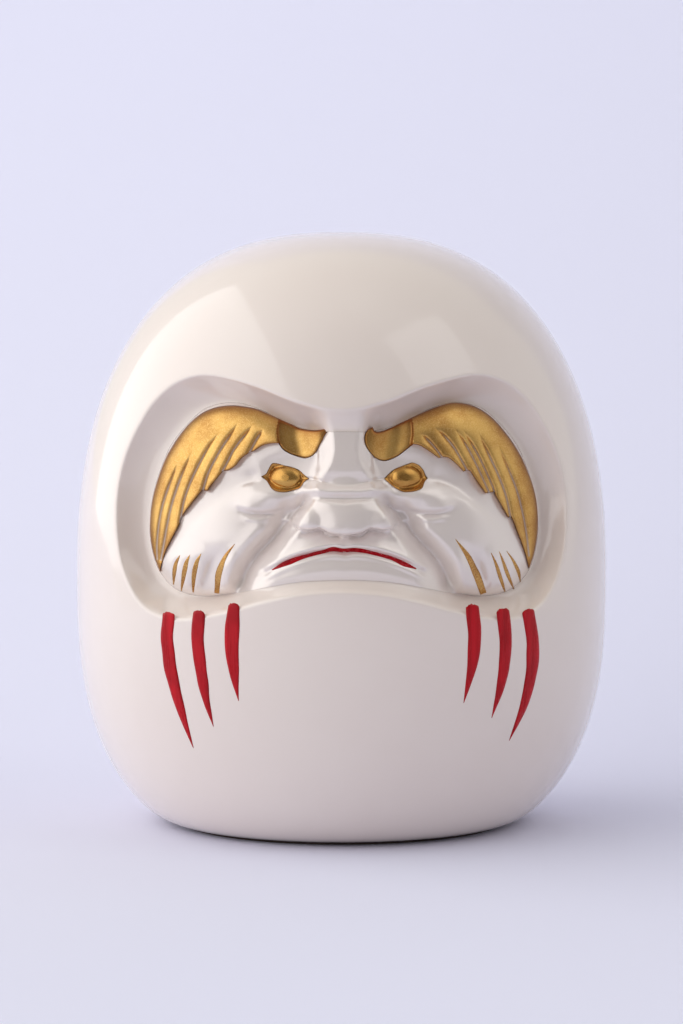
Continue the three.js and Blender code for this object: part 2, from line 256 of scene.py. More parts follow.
def spans(points, line, closed=False):
    """For each point, its distance to a line, its place along it (0 to 1) and its side (+ on the left)."""
    corners = looped(line) if closed else line
    a, b = corners[:-1, :2], corners[1:, :2]
    ab = b - a
    size = np.maximum((ab**2).sum(1), 1e-12)
    travelled = np.r_[0, np.cumsum(np.sqrt(size))]
    best = np.full(len(points), np.inf)
    along = np.zeros(len(points))
    side = np.ones(len(points))
    for start in range(0, len(points), BATCH):
        batch = slice(start, start + BATCH)
        p = points[batch]
        ap = p[:, None, :] - a[None]
        t = np.clip((ap * ab).sum(2) / size, 0, 1)
        away = ap - t[..., None] * ab
        gap = (away**2).sum(2)
        k = gap.argmin(1)
        rows = np.arange(len(p))
        best[batch] = np.sqrt(gap[rows, k])
        along[batch] = (travelled[k] + t[rows, k] * np.sqrt(size[k])) / travelled[-1]
        cross = ab[k, 0] * ap[rows, k, 1] - ab[k, 1] * ap[rows, k, 0]
        side[batch] = np.where(cross >= 0, 1, -1)
    return best, along, side


def inside(points, ring):
    """Which points are inside a closed outline."""
    a, b = ring, np.roll(ring, -1, axis=0)
    result = np.zeros(len(points), bool)
    for start in range(0, len(points), BATCH):
        batch = slice(start, start + BATCH)
        x, z = points[batch, :1], points[batch, 1:2]
        crosses = (a[:, 1] > z) != (b[:, 1] > z)
        with np.errstate(divide="ignore", invalid="ignore"):
            at = a[:, 0] + (z - a[:, 1]) * (b[:, 0] - a[:, 0]) / (b[:, 1] - a[:, 1])
        result[batch] = (crosses & (x < at)).sum(1) % 2 == 1
    return result


def signed(points, ring):
    """Distance to a closed outline, positive inside it."""
    return spans(points, ring, True)[0] * np.where(inside(points, ring), 1, -1)


def winding(ring):
    """+1 for a closed outline that runs anticlockwise and -1 for one that runs clockwise."""
    x, z = ring[:, 0], ring[:, 1]
    return np.sign((x * np.roll(z, -1) - z * np.roll(x, -1)).sum())


def offset(ring, by):
    """A closed outline moved outwards along its normals."""
    ahead = np.roll(ring, -1, axis=0) - np.roll(ring, 1, axis=0)
    normal = np.column_stack([ahead[:, 1], -ahead[:, 0]]) * winding(ring)
    return ring + by * normal / np.linalg.norm(normal, axis=1, keepdims=True)


def left_of(line):
    """Unit normals on the left of a line."""
    along = np.gradient(line, axis=0)
    return np.column_stack([-along[:, 1], along[:, 0]]) / np.linalg.norm(along, axis=1, keepdims=True)


def lattice(ring, spacing):
    """A hexagonal lattice over an outline's box."""
    (x0, z0), (x1, z1) = ring.min(0) - spacing, ring.max(0) + spacing
    rows = np.arange(z0, z1, spacing * math.sqrt(3) / 2)
    columns = np.arange(x0, x1, spacing)
    return np.array([(x + (i % 2) * spacing / 2, z) for i, z in enumerate(rows) for x in columns])


def step(x, low, high):
    """A smooth step, 0 up to low and 1 from high on."""
    t = np.clip((x - low) / (high - low), 0, 1)
    return t * t * (3 - 2 * t)


# ---- The body's surface ----


def ground_lift(x, z):
    """How much shallower than its ground the face's edge is: over the bridge, and under the chin."""
    top = 4.7 * (1 - step(np.abs(x - 0.8), 2.2, 6.4)) * step(z, 66, 76)
    chin = 4.6 * (1 - step(np.abs(x - FACE_X), 13.0, 24)) * (1 - step(z, 55, 61))
    return top + chin


def body_radius(z):
    """The body's half-width at a height."""
    z = np.asarray(z, float)
    rise = np.clip((z - BELLY) / (TOP - BELLY), 0, 1)
    drop = np.clip((BELLY - z) / FOOT_REACH, 0, 1)
    crown = (1 - rise**CROWN_ALONG) ** (1 / CROWN_ACROSS)
    foot = (1 - drop**FOOT_ALONG) ** (1 / FOOT_ACROSS)
    return HALF_WIDTH * np.where(z > BELLY, crown, foot)


def front_y(x, z):
    """The Y of the body's front surface, as if it had no niche."""
    radius = np.maximum(body_radius(z), 1e-6)
    return -SQUASH * radius * np.sqrt(np.clip(1 - (x / radius) ** 2, 0, 1))


rim = mirrored(RIM)
edge = mirrored(MASK_EDGE, EDGE_X)
mask_outline = resample(looped(offset(edge, -MASK_INSET)), 0.3)[:-1]

# ---- Meshes ----


def triangles(points, keep):
    """Delaunay triangles over points in the plane; keep() says which middles stay."""
    flat = [Vector((float(x), float(z))) for x, z in points]
    _, _, faces, origins, _, _ = delaunay_2d_cdt(flat, [], [], 0, 1e-6)
    source = np.array([o[0] for o in origins])
    faces = source[np.array(faces)]
    a, b, c = points[faces[:, 0]], points[faces[:, 1]], points[faces[:, 2]]
    area = (b[:, 0] - a[:, 0]) * (c[:, 1] - a[:, 1]) - (b[:, 1] - a[:, 1]) * (c[:, 0] - a[:, 0])
    faces[area < 0] = faces[area < 0][:, ::-1]
    return faces[(np.abs(area) > 1e-9) & keep((a + b + c) / 3)]


def sheet_points(ring, spacing, rows=(), thinned=lambda fill: fill):
    """An outline's points, extra rows of points inside it, and a lattice clear of both, thinned out."""
    fill = lattice(ring, spacing)
    fill = fill[signed(fill, ring) > 0.55 * spacing]
    for line in rows:
        fill = fill[spans(fill, line)[0] > 0.5 * spacing]
    rows = [line[signed(line, ring) > 0.3 * spacing] for line in rows]
    return np.vstack([ring, *rows, thinned(fill)])


def make(name, verts, faces, material, sharp=None):
    """A piece of the doll from points in millimetres. Edges bent by more than the sharp angle stay sharp."""
    mesh = bpy.data.meshes.new(name)
    mesh.from_pydata((np.asarray(verts) * MM).tolist(), [], [tuple(map(int, f)) for f in faces])
    mesh.validate()
    mesh.shade_smooth()
    if sharp is not None:
        mesh.set_sharp_from_angle(angle=math.radians(sharp))
    mesh.materials.append(material)
    piece = bpy.data.objects.new(name, mesh)
    bpy.context.scene.collection.objects.link(piece)
    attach(piece, "root")
    return piece


def tag(piece, name, values):
    """A number for each of a piece's first vertices, and 0 for the rest, that its material reads."""
    layer = piece.data.attributes.new(name, "FLOAT", "POINT")
    rest = np.zeros(len(piece.data.vertices) - len(values))
    layer.data.foreach_set("value", np.r_[values, rest].astype(np.float32))


def slab(name, ring, points, front, back, back_spacing, material, sharp=None):
    """A closed piece between two heightfields over one outline. points starts with the outline's own."""
    fill = lattice(ring, back_spacing)
    rear = np.vstack([ring, fill[signed(fill, ring) > 0.5 * back_spacing]])
    face_front = triangles(points, lambda m: inside(m, ring))
    face_rear = triangles(rear, lambda m: inside(m, ring))[:, ::-1] + len(points)
    i = np.arange(len(ring))
    j = np.roll(i, -1)
    side = np.column_stack([i, i + len(points), j + len(points), j])
    if winding(ring) < 0:
        side = side[:, ::-1]
    verts = np.vstack([
        np.column_stack([points[:, 0], front(points), points[:, 1]]),
        np.column_stack([rear[:, 0], back(rear), rear[:, 1]]),
    ])
    return make(name, verts, [*face_front, *face_rear, *side], material, sharp)


class Solid:
    """The vertices and faces of one closed mesh, put together in rings and patches."""

    def __init__(self):
        self.verts = []
        self.faces = []
        self.count = 0

    def put(self, points):
        """Add points, and give their numbers."""
        self.verts.append(points)
        self.count += len(points)
        return np.arange(self.count - len(points), self.count)

    def join(self, low, high, keep=slice(None)):
        """Quads between two rings, or those of them that keep picks."""
        quads = np.column_stack([low, np.roll(low, -1), np.roll(high, -1), high])
        self.faces.extend(quads[keep].tolist())

    def patch(self, ids, flat, keep):
        """Triangles between points, worked out in a flat view of them."""
        self.faces.extend(ids[triangles(flat, keep)].tolist())


# ---- Materials ----


def linear(r, g, b):
    """An sRGB colour in 0 to 255 as a linear one."""
    shares = [c / 255 for c in (r, g, b)]
    return (*[c / 12.92 if c <= 0.04045 else ((c + 0.055) / 1.055) ** 2.4 for c in shares], 1)


class Nodes:
    """A material's node tree, with its Principled shader."""

    def __init__(self, name, **values):
        self.material = bpy.data.materials.new(name)
        self.material.use_nodes = True
        self.tree = self.material.node_tree
        self.shader = self.tree.nodes["Principled BSDF"]
        for key, value in values.items():
            self.shader.inputs[key.replace("_", " ")].default_value = value
        self.place = self.tree.nodes.new("ShaderNodeTexCoord").outputs["Object"]

    def add(self, kind, **values):
        node = self.tree.nodes.new(kind)
        for key, value in values.items():
            setattr(node, key, value)
        return node

    def link(self, source, target):
        self.tree.links.new(source, target)

    def feed(self, socket, source):
        self.link(source, self.shader.inputs[socket])

    def noise(self, scale, detail=4.0, rough=0.55, stretch=(1, 1, 1)):
        mapping = self.add("ShaderNodeMapping")
        mapping.inputs["Scale"].default_value = stretch
        self.link(self.place, mapping.inputs["Vector"])
        node = self.add("ShaderNodeTexNoise")
        node.inputs["Scale"].default_value = scale
        node.inputs["Detail"].default_value = detail
        node.inputs["Roughness"].default_value = rough
        self.link(mapping.outputs["Vector"], node.inputs["Vector"])
        return node.outputs["Fac"]

    def ranged(self, source, low, high, start=0.0, end=1.0):
        node = self.add("ShaderNodeMapRange")
        for key, value in (("From Min", low), ("From Max", high), ("To Min", start), ("To Max", end)):
            node.inputs[key].default_value = value
        self.link(source, node.inputs["Value"])
        return node.outputs["Result"]

    def mix(self, factor, a, b):
        node = self.add("ShaderNodeMix", data_type="RGBA")
        self.link(factor, node.inputs["Factor"])
        for value, socket in ((a, node.inputs["A"]), (b, node.inputs["B"])):
            if isinstance(value, tuple):
                socket.default_value = value
            else:
                self.link(value, socket)
        return node.outputs["Result"]

    def attribute(self, name):
        return self.add("ShaderNodeAttribute", attribute_name=name).outputs["Fac"]

    def bump(self, *layers):
        """Bump from (height, strength, distance in metres) layers, one on another."""
        last = None
        for height, strength, distance in layers:
            node = self.add("ShaderNodeBump")
            node.inputs["Strength"].default_value = strength
            node.inputs["Distance"].default_value = distance
            self.link(height, node.inputs["Height"])
            if last:
                self.link(last, node.inputs["Normal"])
            last = node.outputs["Normal"]
        self.feed("Normal", last)


def lacquer(name, base, deeper, roughness, coat, orange_peel, pearl=0.0, haze=0.05):
    """Sprayed lacquer: a faint cloudiness of tone, a slightly uneven gloss and a trace of orange peel.

    pearl makes it a little metallic, and haze is how rough the clear coat is.
    """
    n = Nodes(name, Coat_Weight=coat, Coat_Roughness=haze, IOR=1.5 + pearl, Metallic=pearl)
    cloud = n.noise(28, 3)
    n.feed("Base Color", n.mix(n.ranged(cloud, 0.35, 0.65), base, deeper))
    gloss = n.noise(160, 4)
    n.feed("Roughness", n.ranged(gloss, 0.3, 0.7, roughness * 0.85, roughness * 1.2))
    n.bump((n.noise(420, 2), orange_peel, 0.0001))
    return n.material


def gold_paint(name, grit=1.0, bare=None):
    """Powder gold in varnish: grainy, gone where it is tagged bare, and browned by a second tag. That tag is
    painted shade along the edges and creases of the brows and eyes, and a browner gold all over the cheeks'
    strokes.
    """
    n = Nodes(name, IOR=1.5)
    thin_gold_and_painted_shade, full, bright = linear(188, 138, 72), linear(219, 174, 98), linear(244, 212, 142)
    # The wash between the first two colours is the gold's own uneven tone.
    grain = n.noise(4200, 3, 0.7)
    wash = n.noise(150, 4, 0.6)
    colour = n.mix(n.ranged(wash, 0.38, 0.62), thin_gold_and_painted_shade, full)
    colour = n.mix(n.ranged(grain, 0.45, 0.7, 0.0, 0.6 * grit), colour, bright)
    metal = n.ranged(grain, 0.25, 0.75, 0.92 - 0.12 * grit, 0.95)
    rough = n.ranged(grain, 0.3, 0.7, 0.27 - 0.06 * grit, 0.27 + 0.06 * grit)
    # Painted shade: the tag browns the gold at the brows' and eyes' edges and creases. On the cheeks' strokes
    # it is the gold's own browner colour.
    colour = n.mix(n.attribute("thin_gold_and_painted_shade"), colour, linear(146, 88, 44))
    if bare:
        shows = n.attribute(bare)
        colour = n.mix(shows, colour, linear(216, 203, 194))
        metal = n.ranged(shows, 0, 1, 0.9, 0.0)
        rough = n.ranged(shows, 0, 1, 0.38, 0.3)
    n.feed("Base Color", colour)
    n.feed("Metallic", metal)
    n.feed("Roughness", rough)
    n.bump((grain, 0.1 * grit, 0.0001), (n.noise(600, 3), 0.1 * grit, 0.0002))
    return n.material


def red_paint(name):
    """Red lacquer put on with a brush: streaks run down the stroke."""
    n = Nodes(name, Coat_Weight=0.05, Coat_Roughness=0.08, Specular_IOR_Level=0.22, IOR=1.45)
    streak = n.noise(900, 4, 0.6, (1, 1, 0.045))
    cloud = n.noise(140, 2)
    colour = n.mix(n.ranged(streak, 0.35, 0.66), linear(168, 8, 20), linear(198, 18, 32))
    colour = n.mix(n.ranged(cloud, 0.45, 0.8), colour, linear(158, 6, 18))
    n.feed("Base Color", colour)
    n.feed("Roughness", n.ranged(streak, 0.3, 0.7, 0.22, 0.36))
    n.bump((streak, 0.25, 0.0001))
    return n.material


def fibrous(name, dark, light, scale, stretch=(1, 1, 1)):
    """Board, card and clay: mottled, matt and lightly rough."""
    n = Nodes(name, IOR=1.45)
    fleck = n.noise(scale, 6, 0.65, stretch)
    n.feed("Base Color", n.mix(n.ranged(fleck, 0.35, 0.65), dark, light))
    gloss = n.noise(scale * 0.2, 3)
    n.feed("Roughness", n.ranged(gloss, 0.3, 0.7, 0.82, 0.9))
    n.bump((fleck, 0.4, 0.0003))
    return n.material


white_lacquer = lacquer("white_lacquer", linear(243, 231, 222), linear(241, 228, 219), roughness=0.17,
                        coat=0.7, orange_peel=0.012)
pearl_lacquer = lacquer("pearl_lacquer", linear(242, 232, 226), linear(239, 228, 221), roughness=0.19,
                        coat=0.5, orange_peel=0.01, pearl=0.18, haze=0.12)
gold = gold_paint("gold")
smooth_gold = gold_paint("smooth_gold", grit=0.06)
gold_cut = gold_paint("gold_with_bare_cuts", grit=0.9, bare="bare")
red = red_paint("red_lacquer")
clay = fibrous("baked_clay", linear(150, 98, 66), linear(182, 128, 90), 240)
board = fibrous("grey_board", linear(128, 120, 110), linear(156, 148, 138), 900, (1, 1, 4))
card = fibrous("dark_card", linear(58, 46, 44), linear(78, 64, 60), 1300)

# ---- The body shell ----


def outer_profile():
    """The body's outline in (radius, z), from the turn of its foot to just under the crown's pole."""
    below = np.linspace(BOTTOM + FOOT_ROUND, BELLY, 300)[:-1]
    above = BELLY + (TOP - BELLY) * np.sin(np.linspace(0, math.pi / 2, 400))
    z = np.r_[below, above]
    return resample(np.column_stack([body_radius(z), z]), ROW_STEP)


def foot_turn():
    """The rounded edge of the foot, from the underside up to where the outline starts."""
    high = BOTTOM + FOOT_ROUND
    radius = float(body_radius(high))
    rise = 0.1
    slope = (float(body_radius(high + rise)) - radius) / rise
    start = np.array([disc_high[0] + FOOT_LIP, BOTTOM])
    pull = np.array([radius - slope * FOOT_ROUND, BOTTOM])
    end = np.array([radius, high])
    t = np.linspace(0, 1, 9)[:-1, None]
    return start * (1 - t) ** 2 + 2 * pull * t * (1 - t) + end * t**2


def inner_profile():
    """The cavity's outline in (radius, z), from its floor to just under its pole."""
    squeeze = (TOP - WALL - BELLY) / (TOP - BELLY)
    z = np.linspace(BOTTOM + 0.8, TOP, 500)
    radius = body_radius(z) * (HALF_WIDTH - WALL) / HALF_WIDTH
    line = np.column_stack([radius, BELLY + (z - BELLY) * squeeze])
    return resample(line[line[:, 1] > FLOOR_TOP + 0.4], CAVITY_STEP)


def column_angle(column):
    """The angle round the body from the middle of the front to a column."""
    return column * 2 * math.pi / COLUMNS


def ring_points(radius, z):
    """A level ring of points, squeezed as the body is, from the middle of the front round by +X."""
    angle = column_angle(np.arange(COLUMNS))
    return np.column_stack([radius * np.sin(angle), -SQUASH * radius * np.cos(angle), np.full(COLUMNS, z)])


def unrolled(points):
    """Front-view places as (distance round the belly, z)."""
    radius = body_radius(points[:, 1])
    return np.column_stack([np.arcsin(np.clip(points[:, 0] / radius, -1, 1)) * HALF_WIDTH, points[:, 1]])


def niche_rings():
    """Rings of 3-D points from the body's surface over the rim, down the wall and onto the recess floor.

    With them come the front views of the first and the last.
    """
    lengths = np.r_[0, np.cumsum(np.hypot(*np.diff(looped(rim), axis=0).T))]
    places = np.linspace(0, lengths[-1], RIM_POINTS, endpoint=False)
    outer, inner = (np.column_stack([np.interp(places, lengths, looped(ring)[:, k]) for k in (0, 1)])
                    for ring in (rim, edge))
    run = np.linalg.norm(inner - outer, axis=1)
    outward = offset(outer, 1) - outer
    foot_depth = FACE_DEPTH - ground_lift(*inner.T)

    def depth(s):
        """How far behind the body's surface the niche is, at distances s in from its rim."""
        eased = (s + RIM_FILLET) ** 2 / (4 * RIM_FILLET)
        ramp = np.where(s < -RIM_FILLET, 0, np.where(s > RIM_FILLET, s, eased))
        t = np.clip(ramp / run, 0, 1)
        return foot_depth * (1 - (1 - t) ** COVE)

    flats, rings = [], []
    steps = [np.full(RIM_POINTS, s) for s in RIM_STEPS]
    steps += [RIM_FILLET + (run - RIM_FILLET) * t for t in np.linspace(0, 1, WALL_RINGS + 1)[1:]]
    for s in steps:
        flat = outer - s[:, None] * outward if s[0] < 0 else outer + (inner - outer) * (s / run)[:, None]
        flats.append(flat)
        rings.append(np.column_stack([flat[:, 0], front_y(*flat.T) + depth(s), flat[:, 1]]))
    for deep in (FACE_DEPTH + 0.8, RECESS_FLOOR):
        rings.append(np.column_stack([inner[:, 0], front_y(*inner.T) + deep, inner[:, 1]]))
    return rings, flats[0], inner


def niche_depth_inside(x, z):
    """How far behind the body's surface the shell's inner side has to lie, to clear the niche."""
    away = -signed(np.column_stack([x, z]), edge)
    return np.interp(away, [WALL, WALL + SHOULDER], [RECESS_FLOOR + WALL, 0.0])


def shell_front(shell, rows, row_z):
    """The turned outside, with a window left out of it that is filled up to the niche, and the niche."""
    rings, rim_flat, floor_flat = niche_rings()
    round_rim = unrolled(rim_flat)
    low_row, high_row = np.searchsorted(row_z, [rim[:, 1].min() - 4.5, rim[:, 1].max() + 4.0])
    half_span = math.ceil((np.abs(round_rim[:, 0]).max() / HALF_WIDTH + 0.06) / column_angle(1))
    window = np.arange(-half_span, half_span + 1)
    closed = np.ones(COLUMNS, bool)
    closed[window[:-1]] = False
    for k, (low, high) in enumerate(zip(rows, rows[1:])):
        shell.join(low, high, closed if low_row <= k < high_row else slice(None))

    # The patch between the window in the turned grid and the outermost ring round the niche.
    ring_ids = [shell.put(ring) for ring in rings]
    grid = [(k, c) for k in range(low_row, high_row + 1) for c in window]
    grid_ids = np.array([rows[k][c] for k, c in grid])
    grid_flat = np.array([(column_angle(c) * HALF_WIDTH, row_z[k]) for k, c in grid])
    clear = signed(grid_flat, round_rim) < -0.75
    shell.patch(np.r_[ring_ids[0], grid_ids[clear]], np.vstack([round_rim, grid_flat[clear]]),
                lambda middles: ~inside(middles, round_rim))
    for outer, inner in zip(ring_ids, ring_ids[1:]):
        shell.join(inner, outer)

    floor = lattice(floor_flat, 2.0)
    floor = floor[signed(floor, floor_flat) > 1.0]
    floor_ids = shell.put(np.column_stack([floor[:, 0], front_y(*floor.T) + RECESS_FLOOR, floor[:, 1]]))
    shell.patch(np.r_[ring_ids[-1], floor_ids], np.vstack([floor_flat, floor]),
                lambda middles: inside(middles, floor_flat))


def shell_inside(shell, last):
    """Under the foot, a rabbet for the base plate and the round opening; then the cavity."""
    rabbet_radius, rabbet_top = plate_high[0] + GAP, plate_high[2] + GAP
    cavity = inner_profile()
    under = [(rabbet_radius, BOTTOM), (rabbet_radius, rabbet_top), (OPENING_RADIUS, rabbet_top),
             (OPENING_RADIUS, FLOOR_TOP)]
    under += [(r, FLOOR_TOP) for r in np.linspace(OPENING_RADIUS + 2, cavity[0, 0] - 0.8, 3)]
    rings = [ring_points(r, z) for r, z in [*under, *cavity[:-1]]]
    for points in rings[len(under) :]:
        front = points[:, 1] < 0
        behind_niche = front_y(points[:, 0], points[:, 2]) + niche_depth_inside(points[:, 0], points[:, 2])
        points[front, 1] = np.maximum(points[front, 1], behind_niche[front])
    for points in rings:
        ring = shell.put(points)
        shell.join(ring, last)
        last = ring
    cap = shell.put(np.array([[0, 0, cavity[-1, 1]]]))[0]
    shell.faces.extend([(cap, b, a) for a, b in zip(last, np.roll(last, -1))])


def body_shell():
    shell = Solid()
    outline = np.vstack([foot_turn(), outer_profile()[:-1]])
    rows = [shell.put(ring_points(r, z)) for r, z in outline]
    pole = shell.put(np.array([[0, 0, TOP]]))[0]
    shell.faces.extend([(a, b, pole) for a, b in zip(rows[-1], np.roll(rows[-1], -1))])
    shell_front(shell, rows, outline[:, 1])
    shell_inside(shell, rows[0])
    piece = make("lacquered_body", np.vstack(shell.verts), shell.faces, white_lacquer, 50)
    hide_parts("body_shell")


# ---- The face's relief ----


def boss(a, z, at, half, turn=0.0, power=2.0):
    """A smooth rise, 1 at its middle and 0 from its outline on."""
    c, s = math.cos(math.radians(turn)), math.sin(math.radians(turn))
    u = ((a - at[0]) * c + (z - at[1]) * s) / half[0]
    v = ((z - at[1]) * c - (a - at[0]) * s) / half[1]
    return np.clip(1 - u * u - v * v, 0, 1) ** power


def higher(a, b, soft):
    """The higher of two surfaces, blended where they cross."""
    return 0.5 * (a + b + np.sqrt((a - b) ** 2 + soft * soft))


def ends(t, start, end):
    """1 along a line, fading to 0 over its first and last shares."""
    fade = np.ones_like(t)
    if start > 0:
        fade = fade * step(t, 0, start)
    if end > 0:
        fade = fade * step(1 - t, 0, end)
    return fade


BROWS = {
    "left": (closed_outline(BROW_LEFT, 0.2), CUTS_LEFT, BROW_LEFT),
    "right": (closed_outline(BROW_RIGHT, 0.2), CUTS_RIGHT, BROW_RIGHT),
}
EYES = {
    "left": (closed_outline(EYE_LEFT, 0.14), BALL_LEFT),
    "right": (closed_outline(EYE_RIGHT, 0.14), BALL_RIGHT),
}
POCKETS = [ring for ring, *_ in [*BROWS.values(), *EYES.values()]]


def crease(p, points, deep, wide, start, end, wide_right=None):
    """A V-shaped line pressed into the relief; it may have another width on its right."""
    gap, t, side = spans(p, trace(points))
    reach = wide if wide_right is None else np.where(side > 0, wide, wide_right)
    return -deep * np.exp(-((gap / reach) ** 1.6)) * ends(t, start, end)


def ridge(p, points, high, wide, start, end):
    """A rounded line that stands out of the relief."""
    gap, t, _ = spans(p, trace(points))
    return high * np.exp(-((gap / wide) ** 2)) * ends(t, start, end)


def fold(p, points, high, sharp, reach, start, end):
    """A step along a line, raised on its left and dying away."""
    gap, t, side = spans(p, trace(points))
    s = gap * side
    return high * 0.5 * (1 + np.tanh(s / sharp)) * np.exp(-np.clip(s, 0, None) / reach) * ends(t, start, end)


def mouth_line(a):
    """The height of the line of the mouth, at a distance from the face's middle line."""
    return 58.45 - 3.55 * (a / 13.4) ** 2 - 0.35 * np.exp(-((a / 1.3) ** 2))


# The relief is built up in layers. In each, a is the distance from the face's middle line, z the height, and
# p both of them; h is the height of the relief so far.


def cheeks(a, z, p):
    """The ground: a cushion, full over the cheeks and hollow round the eyes, with bags under them."""
    h = 2.1 + 2.0 * boss(a, z, (24.5, 60.5), (12.5, 11), -35) - 1.1 * boss(a, z, (11.5, 73), (9, 4.6), -10)
    h += 1.15 * boss(a, z, (15.2, 68.6), (8.2, 3.4), -12)
    h += fold(p, [(9.8, 66.9), (13.2, 65.7), (17.6, 65.6), (21.6, 66.9)], 1.15, 0.42, 2.0, 0.25, 0.3)
    h += crease(p, [(10.4, 66.2), (13.6, 65.2), (17.7, 65.0), (21.2, 66.1)], 0.45, 0.6, 0.25, 0.35)
    h += fold(p, [(12.6, 64.2), (16.2, 63.6), (20.3, 64.2)], 0.5, 0.4, 1.5, 0.3, 0.3)
    h -= fold(p, [(15.6, 71.6), (19.3, 70.5), (23.0, 68.0), (26.5, 65.2), (29.5, 62.2), (32.4, 57.8)],
              0.7, 0.8, 3.0, 0.1, 0.3)
    return h


def jowls(h, a, z, p):
    """A ridge outside the deep fold, a hollow outside the large stroke, and swellings beside both."""
    h += ridge(p, [(13.2, 63.8), (16.4, 61.2), (19.2, 57.8), (21.0, 54.6), (21.9, 50.5)], 1.0, 1.8, 0.2, 0.0)
    h += crease(p, [(23.6, 58.5), (25.2, 55.5), (26.0, 52.5), (26.3, 49.0)], 1.2, 1.0, 0.5, 0.0)
    h += 1.0 * boss(a, z, (30.3, 54.2), (4.6, 6.4), 12, 1.5)
    h += 0.6 * boss(a, z, (22.4, 53.6), (2.4, 6.0), 8, 1.5)
    return h


def muzzle(h, a, z, p):
    """The muzzle and chin, one soft block that the mouth divides, and the deep fold from nose to jowl."""
    over = z - mouth_line(a)
    half = 17.0 - 0.6 * np.clip(over, 0, None) ** 1.35
    block = 4.6 - 2.7 * step(a, half - 4.2, half + 1.4)
    block -= 1.1 * step(over, 0.7, 3.8) * step(18 - a, 0, 9)
    block += 0.9 * step(-over, 0.6, 4.6)
    h = higher(h, block - 6 * step(z, 61.5, 67), 0.6)
    deep_fold = [(6.8, 69.0), (8.4, 67.6), (10.2, 65.6), (11.6, 63.2), (12.9, 61.2), (14.6, 59.3),
                 (16.6, 57.2), (18.2, 54.9), (19.0, 52.8), (19.1, 50.4)]
    return h + crease(p, deep_fold, 3.1, 2.1, 0.1, 0.0, 1.1)


def bridge(h, a, z, p):
    """The bridge, with a roll of skin across its root that runs on under each eye."""
    half = np.interp(z, [67, 70, 72.4, 75, 77, 81], [6.2, 6.4, 5.2, 3.9, 3.3, 3.2])
    block = 4.7 - 3.4 * step(a, half - 1.6, half + 2.4) - 0.8 * np.exp(-(((z - 71.2) / 1.5) ** 2))
    h = higher(h, block - 7 * (1 - step(z, 62, 67.5)), 0.9)
    roll = [(0, 69.55), (3, 69.6), (6, 69.9), (8.8, 68.9), (11.8, 67.7), (15.0, 67.1)]
    h += ridge(p, roll, 0.95, 0.95, 0.0, 0.45)
    h += crease(p, [(0.0, 70.8), (3.0, 71.0), (6.4, 71.6), (8.4, 72.0)], 0.5, 0.32, 0.0, 0.3)
    h += crease(p, [(1.0, 69.9), (3.2, 70.0), (5.8, 70.4), (8.0, 69.7)], 0.22, 0.22, 0.3, 0.4)
    return h


def nose(h, a, z, p):
    """One broad blunt form, widest at its wings, with a notch each side of its tip."""
    half = np.interp(z, [60.5, 62.2, 64.0, 65.5, 67.0, 68.8, 70.0], [10.0, 10.3, 9.7, 8.7, 7.5, 6.5, 6.3])
    form = 6.6 - 1.9 * np.clip(a / half, 0, 1.3) ** 2 - 0.6 * step(z, 65.5, 68.4)
    form += 0.45 * boss(a, z, (0, 63.2), (5.2, 3.4)) + 0.75 * boss(a, z, (7.4, 64.0), (2.9, 3.0), -30)
    form -= 4.2 * step(a, half - 1.7, half + 1.0)
    crest = 67.9 + 0.12 * a
    form -= 1.7 * step(z, crest - 1.0, crest + 0.5)
    under = np.interp(a, [0, 1.5, 3.0, 3.9, 4.7, 5.6, 7.0, 9.0, 10.4],
                      [60.9, 61.0, 61.3, 61.8, 62.1, 62.0, 61.8, 62.0, 62.9])
    form -= 4.2 * (1 - step(z, under - 0.45, under + 0.85))
    h = higher(h, form, 0.3)
    h += crease(p, [(0.4, 60.8), (3.0, 60.9), (4.7, 61.9), (7.0, 61.5), (9.6, 61.5)], 0.8, 0.45, 0.1, 0.3)
    h += crease(p, [(6.9, 68.5), (8.1, 67.0), (9.3, 65.4), (10.3, 63.9), (11.0, 62.4)], 0.8, 0.6, 0.2, 0.3)
    return h


def mouth(h, a, z):
    """A groove that runs on past the paint to a small pocket, with a fine raised lip each side."""
    over = z - mouth_line(a)
    reach = 1 - step(a, 14.4, 15.9)
    h -= 0.9 * np.exp(-((over / 0.5) ** 2)) * reach
    h += 0.28 * np.exp(-(((np.abs(over) - 1.15) / 0.45) ** 2)) * reach
    h -= 0.45 * boss(a, z, (15.3, 54.1), (1.5, 1.1), -25)
    h += 0.16 * boss(np.abs(a - 1.3), z, (0, 59.7), (1.2, 1.2))
    return h


def face_relief(points):
    """How far the face stands forward of the mask's ground, before paint."""
    x, z = points[:, 0], points[:, 1]
    a = np.abs(x - FACE_X)
    p = np.column_stack([a, z])
    h = cheeks(a, z, p)
    for layer in (jowls, muzzle, bridge, nose):
        h = layer(h, a, z, p)
    h = mouth(h, a, z)

    # The strokes on the cheeks are painted into shallow cuts.
    for line, halves in CHEEK_STROKES.values():
        gap, t, _ = spans(points, trace(line, 0.4))
        h -= 0.22 * np.exp(-((gap / (max(halves) * 1.25)) ** 2)) * ends(t, 0.3, 0.15)

    # Rounded down to the mask's edge, softly where the edge is shallow.
    lift = ground_lift(x, z)
    run = 0.75 + 0.5 * lift
    rim_gap = signed(points, mask_outline)
    return lift + 0.1 + (h - lift - 0.1) * (1 - np.exp(-np.clip(rim_gap, 0, None) / run))


